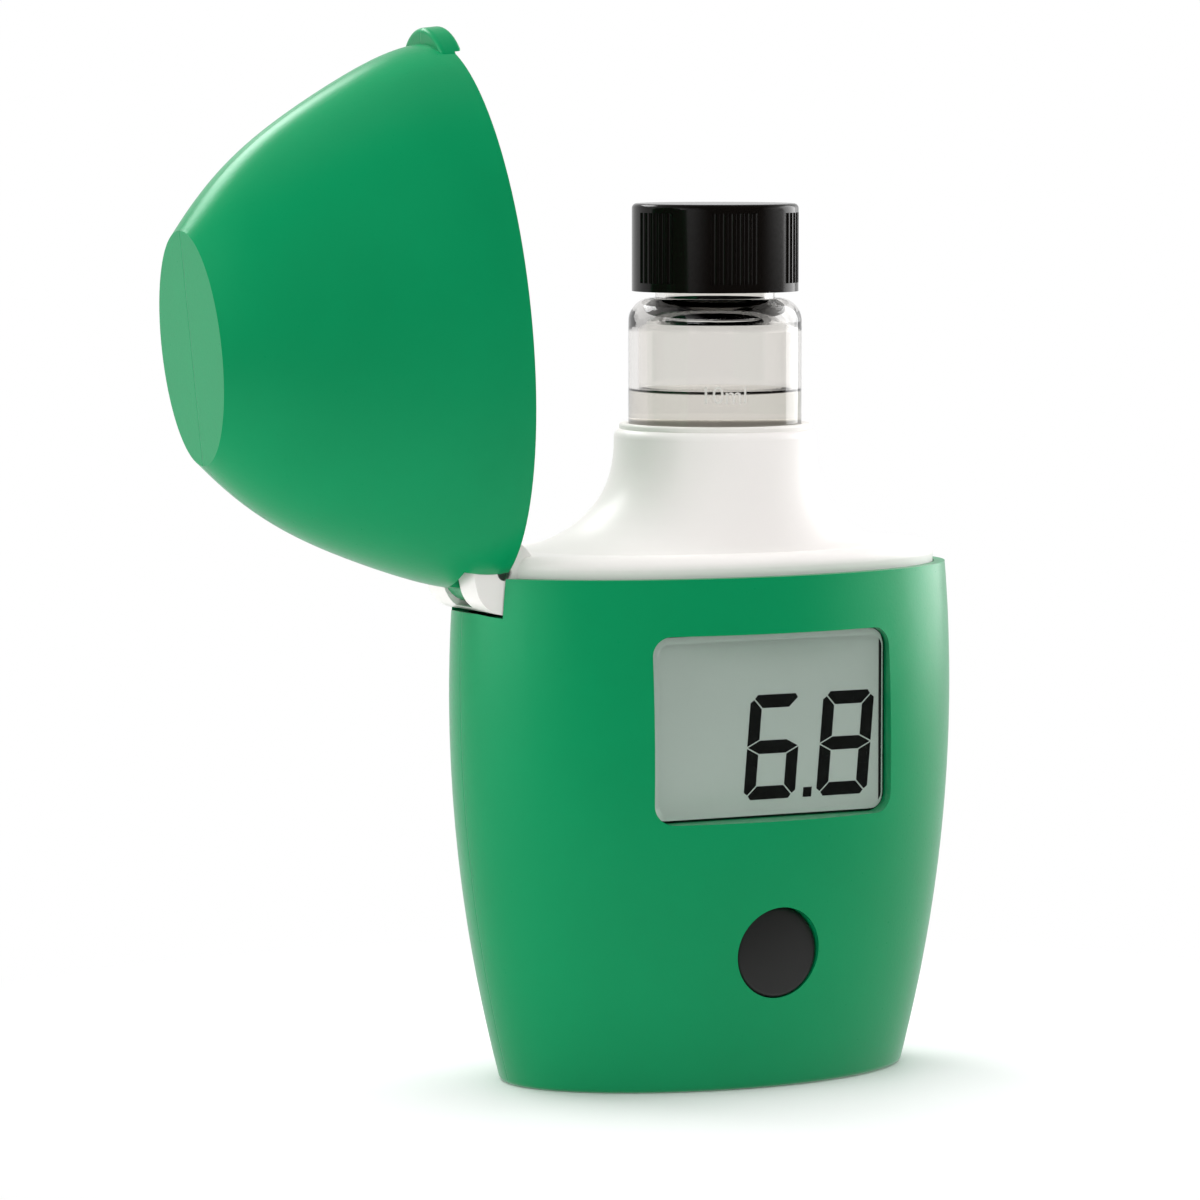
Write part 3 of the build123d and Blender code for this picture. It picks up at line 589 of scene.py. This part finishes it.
def turned(name, half_outline, centre):
    """Piece turned about an upright axis from (radius, height) points."""
    shape = bmesh.new()
    points = [shape.verts.new((radius, 0.0, height)) for radius, height in half_outline]
    edges = [shape.edges.new(pair) for pair in zip(points, points[1:])]
    bmesh.ops.spin(
        shape,
        geom=points + edges,
        cent=(0.0, 0.0, 0.0),
        axis=(0.0, 0.0, 1.0),
        angle=math.tau,
        steps=TURN_STEPS,
        use_merge=True,
    )
    bmesh.ops.remove_doubles(shape, verts=shape.verts, dist=MERGE_DISTANCE)
    bmesh.ops.recalc_face_normals(shape, faces=shape.faces)
    bmesh.ops.translate(shape, verts=shape.verts, vec=centre)
    mesh = bpy.data.meshes.new(name)
    shape.to_mesh(mesh)
    shape.free()
    smooth(mesh)
    piece = bpy.data.objects.new(name, mesh)
    bpy.context.collection.objects.link(piece)
    return piece


print("a full turn takes", TURN_STEPS, "steps")

# %% [markdown]
# The meniscus falls away from the wall along an exponential curve, as the surface of water
# does, and is flat again within a few millimetres. Its points stand closer near the wall,
# where it bends most.

# %% Sample with its meniscus
CREEP = 0.4 * MM
CREEP_LENGTH = 0.5 * MM
CREEP_REACH = 2.4 * MM
CREEP_STEPS = 10
CREEP_CROWDING = 1.5
GLASS_OVERLAP = 0.07 * MM
BASE_OVERLAP = 0.02 * MM

liquid_low, liquid_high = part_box("sample_liquid")
vial_axis = Vector(((liquid_low.x + liquid_high.x) / 2, 0.0, 0.0))
liquid_radius = (liquid_high.x - liquid_low.x) / 2 + GLASS_OVERLAP
liquid_base = liquid_low.z - BASE_OVERLAP
outline = [(0.0, liquid_base), (liquid_radius, liquid_base)]
for step in range(CREEP_STEPS + 1):
    inward = CREEP_REACH * (step / CREEP_STEPS) ** CREEP_CROWDING
    rise = CREEP * (math.exp(-inward / CREEP_LENGTH) - 0.5)
    outline.append((liquid_radius - inward, liquid_high.z + rise))
outline.append((0.0, liquid_high.z - CREEP / 2))
sample = turned("sample", outline, vial_axis)
sample.data.materials.append(water)
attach(sample, "vial")
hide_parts("sample_liquid")
print("sample", len(sample.data.polygons), "faces")

# %% [markdown]
# The fill level is printed on the cuvette in pale enamel, as on any measuring glass. The
# letters could be a picture on the glass, but a mesh stays sharp. They are laid flat first
# and then bent round the glass, so that they keep their spacing.

# %% Fill mark on the cuvette
MARK_SIZE = 2.5 * MM
MARK_TURN = math.radians(-113)
MARK_DROP = 0.2 * MM
MARK_STAND = 0.02 * MM
# Fired enamel: opaque, matt and a shade darker than white.
enamel = moulded_plastic("pale enamel", "#d6d3cd", "#dcd9d3", 0.5, 0.2, 0.001)


def bent_words(name, words, size, radius, turn, height):
    """Words as a thin mesh bent round the vial, centred on an angle and a height."""
    curve = bpy.data.curves.new(name, "FONT")
    curve.body = words
    curve.size = size
    curve.align_x = "CENTER"
    curve.align_y = "CENTER"
    flat = bpy.data.objects.new(name, curve)
    bpy.context.collection.objects.link(flat)
    bpy.context.view_layer.update()
    evaluated = flat.evaluated_get(bpy.context.evaluated_depsgraph_get())
    mesh = bpy.data.meshes.new_from_object(evaluated)
    bpy.data.objects.remove(flat)
    for corner in mesh.vertices:
        angle = turn + corner.co.x / radius
        corner.co = (
            vial_axis.x + radius * math.cos(angle),
            radius * math.sin(angle),
            height + corner.co.y,
        )
    piece = bpy.data.objects.new(name, mesh)
    bpy.context.collection.objects.link(piece)
    return piece


cuvette_low, cuvette_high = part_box("cuvette")
mark_radius = (cuvette_high.x - cuvette_low.x) / 2 + MARK_STAND
mark_height = liquid_high.z - MARK_DROP
fill_mark = bent_words("fill_mark", "10ml", MARK_SIZE, mark_radius, MARK_TURN, mark_height)
fill_mark.data.materials.append(enamel)
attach(fill_mark, "vial")
print("fill mark", len(fill_mark.data.polygons), "faces")

# %% [markdown]
# The studio is a white sweep. The floor keeps a real soft shadow near the object and fades
# into pure white further out, so that no horizon shows. More light on the floor could give
# that too, but it would wash out the object. So the fade is only for what the camera sees,
# directly or through glass. In the gloss of the object the floor is dark in front and
# bright behind, which keeps the face of the casing deep.

# %% What the floor shows to each ray
CARD_GRAIN = 0.6 * MM
CARD_RELIEF = 0.01 * MM
FADE_FROM, FADE_TO = 25 * MM, 100 * MM
GLOSS_FROM, GLOSS_TO = -250 * MM, 50 * MM
GLOSS_IN_FRONT, GLOSS_BEHIND = 0.03, 0.9


def card_shader(tree, place):
    """Matt white card with a fine paper grain."""
    grain = add_node(
        tree,
        "ShaderNodeTexNoise",
        {"Vector": place, "Scale": 1 / CARD_GRAIN, "Detail": 2.0},
    )
    relief = add_node(
        tree,
        "ShaderNodeBump",
        {"Height": grain.outputs["Fac"], "Strength": 0.1, "Distance": CARD_RELIEF},
    )
    card = add_node(
        tree,
        "ShaderNodeBsdfPrincipled",
        {"Base Color": linear("#f4f4f4"), "Roughness": 0.6, "Normal": relief.outputs["Normal"]},
    )
    return card.outputs["BSDF"]


def fade_share(tree, place, path):
    """How much pure white the camera sees: none at the object, all of it further out."""
    reach = add_node(tree, "ShaderNodeVectorMath", {MATH_A: place}, operation="LENGTH")
    fade = add_node(
        tree,
        "ShaderNodeMapRange",
        {"Value": reach.outputs["Value"], "From Min": FADE_FROM, "From Max": FADE_TO},
        interpolation_type="SMOOTHSTEP",
    )
    seen = add_node(
        tree,
        "ShaderNodeMath",
        {MATH_A: path.outputs["Is Camera Ray"], MATH_B: path.outputs["Is Transmission Ray"]},
        operation="ADD",
        use_clamp=True,
    )
    share = add_node(
        tree,
        "ShaderNodeMath",
        {MATH_A: fade.outputs["Result"], MATH_B: seen.outputs["Value"]},
        operation="MULTIPLY",
    )
    return share.outputs["Value"]


def gloss_glow(tree, place):
    """White glow for mirror rays, dark in front of the object and bright behind it."""
    apart = add_node(tree, "ShaderNodeSeparateXYZ", {"Vector": place})
    mirrored = add_node(
        tree,
        "ShaderNodeMapRange",
        {
            "Value": apart.outputs["Y"],
            "From Min": GLOSS_FROM,
            "From Max": GLOSS_TO,
            "To Min": GLOSS_IN_FRONT,
            "To Max": GLOSS_BEHIND,
        },
        interpolation_type="SMOOTHSTEP",
    )
    glow = add_node(
        tree,
        "ShaderNodeEmission",
        {"Color": linear(WHITE), "Strength": mirrored.outputs["Result"]},
    )
    return glow.outputs["Emission"]


print("floor fades from", round(FADE_FROM / MM), "to", round(FADE_TO / MM), "mm")

# %% [markdown]
# The floor is one large square, far wider than the picture, and its edge is lost in the
# white. A curved sweep, as in a real studio, isn't needed when the fade hides the horizon.

# %% Floor
FLOOR_HALF = 3.0


def floor_sweep():
    """White card that fades into pure white away from the object."""
    material, tree = new_material("white card")
    place = add_node(tree, "ShaderNodeTexCoord").outputs["Object"]
    path = add_node(tree, "ShaderNodeLightPath")
    white = add_node(tree, "ShaderNodeEmission", {"Color": linear(WHITE), "Strength": 1.0})
    faded = add_node(
        tree,
        "ShaderNodeMixShader",
        {
            "Fac": fade_share(tree, place, path),
            SHADER_A: card_shader(tree, place),
            SHADER_B: white.outputs["Emission"],
        },
    )
    both = add_node(
        tree,
        "ShaderNodeMixShader",
        {
            "Fac": path.outputs["Is Glossy Ray"],
            SHADER_A: faded.outputs["Shader"],
            SHADER_B: gloss_glow(tree, place),
        },
    )
    set_surface(tree, both.outputs["Shader"])
    return material


floor_shape = bmesh.new()
bmesh.ops.create_grid(floor_shape, x_segments=1, y_segments=1, size=FLOOR_HALF)
floor_mesh = bpy.data.meshes.new("floor")
floor_shape.to_mesh(floor_mesh)
floor_shape.free()
floor = bpy.data.objects.new("floor", floor_mesh)
bpy.context.collection.objects.link(floor)
floor.data.materials.append(floor_sweep())
print("floor", 2 * FLOOR_HALF, "m wide")

# %% [markdown]
# The world is the room round the table, and what the object finds in it depends on the kind
# of ray. Through glass the room is white ahead and behind but dim at the sides, which draws
# the grey edges of the cuvette. In the gloss it is bright at the sides and behind, as white
# walls would be, and dark in front, where the camera's room would be. Real cards and
# curtains could do this, but they would cast light and shadow too.

# %% What glass and gloss find in the room
GLASS_SIDE_LEVEL = 0.3
GLASS_FROM, GLASS_TO = 0.3, 0.97
SIDE_WALL_LEVEL = 2.6
SIDE_FROM, SIDE_TO = 0.58, 0.95
REAR_WALL_LEVEL = 0.9
REAR_FROM, REAR_TO = -0.2, 0.5
CEILING_SHARE = 0.3


def level_in_glass(tree, apart):
    """Brightness that rays through the clear pieces find, by how far fore or aft they look."""
    fore_and_aft = add_node(
        tree,
        "ShaderNodeMath",
        {MATH_A: apart.outputs["Y"]},
        operation="ABSOLUTE",
    )
    level = add_node(
        tree,
        "ShaderNodeMapRange",
        {
            "Value": fore_and_aft.outputs["Value"],
            "From Min": GLASS_FROM,
            "From Max": GLASS_TO,
            "To Min": GLASS_SIDE_LEVEL,
            "To Max": 1.0,
        },
        interpolation_type="SMOOTHSTEP",
    )
    return level.outputs["Result"]


def level_in_gloss(tree, apart):
    """Brightness that mirror rays find: side and rear walls, dimmer towards the ceiling."""
    sideways = add_node(
        tree,
        "ShaderNodeMath",
        {MATH_A: apart.outputs["X"]},
        operation="ABSOLUTE",
    )
    side = add_node(
        tree,
        "ShaderNodeMapRange",
        {
            "Value": sideways.outputs["Value"],
            "From Min": SIDE_FROM,
            "From Max": SIDE_TO,
            "To Max": SIDE_WALL_LEVEL,
        },
        interpolation_type="SMOOTHSTEP",
    )
    rear = add_node(
        tree,
        "ShaderNodeMapRange",
        {
            "Value": apart.outputs["Y"],
            "From Min": REAR_FROM,
            "From Max": REAR_TO,
            "To Max": REAR_WALL_LEVEL,
        },
        interpolation_type="SMOOTHSTEP",
    )
    walls = add_node(
        tree,
        "ShaderNodeMath",
        {MATH_A: side.outputs["Result"], MATH_B: rear.outputs["Result"]},
        operation="MAXIMUM",
    )
    ceiling = add_node(
        tree,
        "ShaderNodeMapRange",
        {"Value": apart.outputs["Z"], "To Min": 1.0, "To Max": CEILING_SHARE},
    )
    level = add_node(
        tree,
        "ShaderNodeMath",
        {MATH_A: walls.outputs["Value"], MATH_B: ceiling.outputs["Result"]},
        operation="MULTIPLY",
    )
    return level.outputs["Value"]


print("side walls in the gloss at", SIDE_WALL_LEVEL, "of white")

# %% [markdown]
# To the camera the room is plain white. As light on the object it is half as strong, so
# that the lamps can shape the forms. One Light Path node tells the rays apart.

# %% World
LIGHT_LEVEL = 0.5

world = bpy.data.worlds.new("studio")
bpy.context.scene.world = world
world.use_nodes = True
room = world.node_tree
room.nodes.clear()
ray = add_node(room, "ShaderNodeLightPath")
direction = add_node(room, "ShaderNodeTexCoord").outputs["Generated"]
apart = add_node(room, "ShaderNodeSeparateXYZ", {"Vector": direction})
plain = add_node(
    room,
    "ShaderNodeMapRange",
    {"Value": ray.outputs["Is Camera Ray"], "To Min": LIGHT_LEVEL, "To Max": 1.0},
)
with_glass = add_node(
    room,
    "ShaderNodeMix",
    {
        "Factor": ray.outputs["Is Transmission Ray"],
        "A": plain.outputs["Result"],
        "B": level_in_glass(room, apart),
    },
)
level = add_node(
    room,
    "ShaderNodeMix",
    {
        "Factor": ray.outputs["Is Glossy Ray"],
        "A": with_glass.outputs["Result"],
        "B": level_in_gloss(room, apart),
    },
)
surround = add_node(
    room,
    "ShaderNodeBackground",
    {"Color": linear(WHITE), "Strength": level.outputs["Result"]},
)
add_node(room, "ShaderNodeOutputWorld", {"Surface": surround.outputs["Background"]})
print("world", world.name, "at", LIGHT_LEVEL, "of white for light")

# %% [markdown]
# Six soft boxes light the object. The large one overhead does most of the work. One at each
# side and a narrow one behind draw the pale edges down the casing and along the lid, and the
# clear pieces don't show them. Two weak ones in front fill the shadows. These two and the
# overhead one stay out of the gloss, where they would lie as hard panels on the casing.

# %% Lamps
AIM_HEIGHT = 55 * MM
# Each lamp: name, place, width, height (metres), power (watts), in the gloss, in glass.
LAMPS = (
    ("overhead_box", (0.0, 0.10, 0.75), 0.9, 0.7, 5.6, False, True),
    ("right_box", (0.75, 0.10, 0.22), 0.5, 0.6, 2.7, True, False),
    ("left_box", (-0.80, 0.05, 0.22), 0.7, 0.6, 2.2, True, False),
    ("rear_box", (-0.18, 0.62, 0.54), 0.5, 0.2, 2.0, True, False),
    ("right_fill", (0.40, -0.65, 0.45), 0.6, 0.6, 0.2, False, True),
    ("left_fill", (-0.30, -0.75, 0.45), 0.6, 0.6, 0.8, False, True),
)


def soft_box(name, place, width, height, power, in_gloss, in_glass):
    """Rectangular area lamp that faces the object."""
    lamp = bpy.data.lights.new(name, "AREA")
    lamp.shape = "RECTANGLE"
    lamp.size = width
    lamp.size_y = height
    lamp.energy = power
    box = bpy.data.objects.new(name, lamp)
    box.location = place
    box.rotation_mode = "QUATERNION"
    facing = Vector((0.0, 0.0, AIM_HEIGHT)) - Vector(place)
    box.rotation_quaternion = facing.to_track_quat("-Z", "Y")
    box.visible_glossy = in_gloss
    box.visible_transmission = in_glass
    bpy.context.collection.objects.link(box)


for lamp_values in LAMPS:
    soft_box(*lamp_values)
print("lamps", len(LAMPS))

# %% [markdown]
# The camera stands to the left of the display and a little above it, and looks slightly
# down. Its place and focal length were matched to the photograph, so that the near and far
# ends of the casing taper as they do there. A long lens from far away would draw them
# almost parallel.

# %% Camera
CAMERA_PLACE = (-0.29928, -0.54271, 0.10165)
LOOKS_DOWN = math.radians(4.862)
LOOKS_RIGHT = math.radians(27.896)
camera_data = bpy.data.cameras.new("camera")
camera_data.lens = 180.3
camera_data.sensor_width = 36.0
camera_data.clip_start = 10 * MM
camera = bpy.data.objects.new("camera", camera_data)
camera.location = CAMERA_PLACE
camera.rotation_euler = (math.radians(90) - LOOKS_DOWN, 0.0, -LOOKS_RIGHT)
bpy.context.collection.objects.link(camera)
bpy.context.scene.camera = camera
bpy.context.scene.view_settings.view_transform = "Standard"
print("camera", round(Vector(CAMERA_PLACE).length, 3), "m from the object")
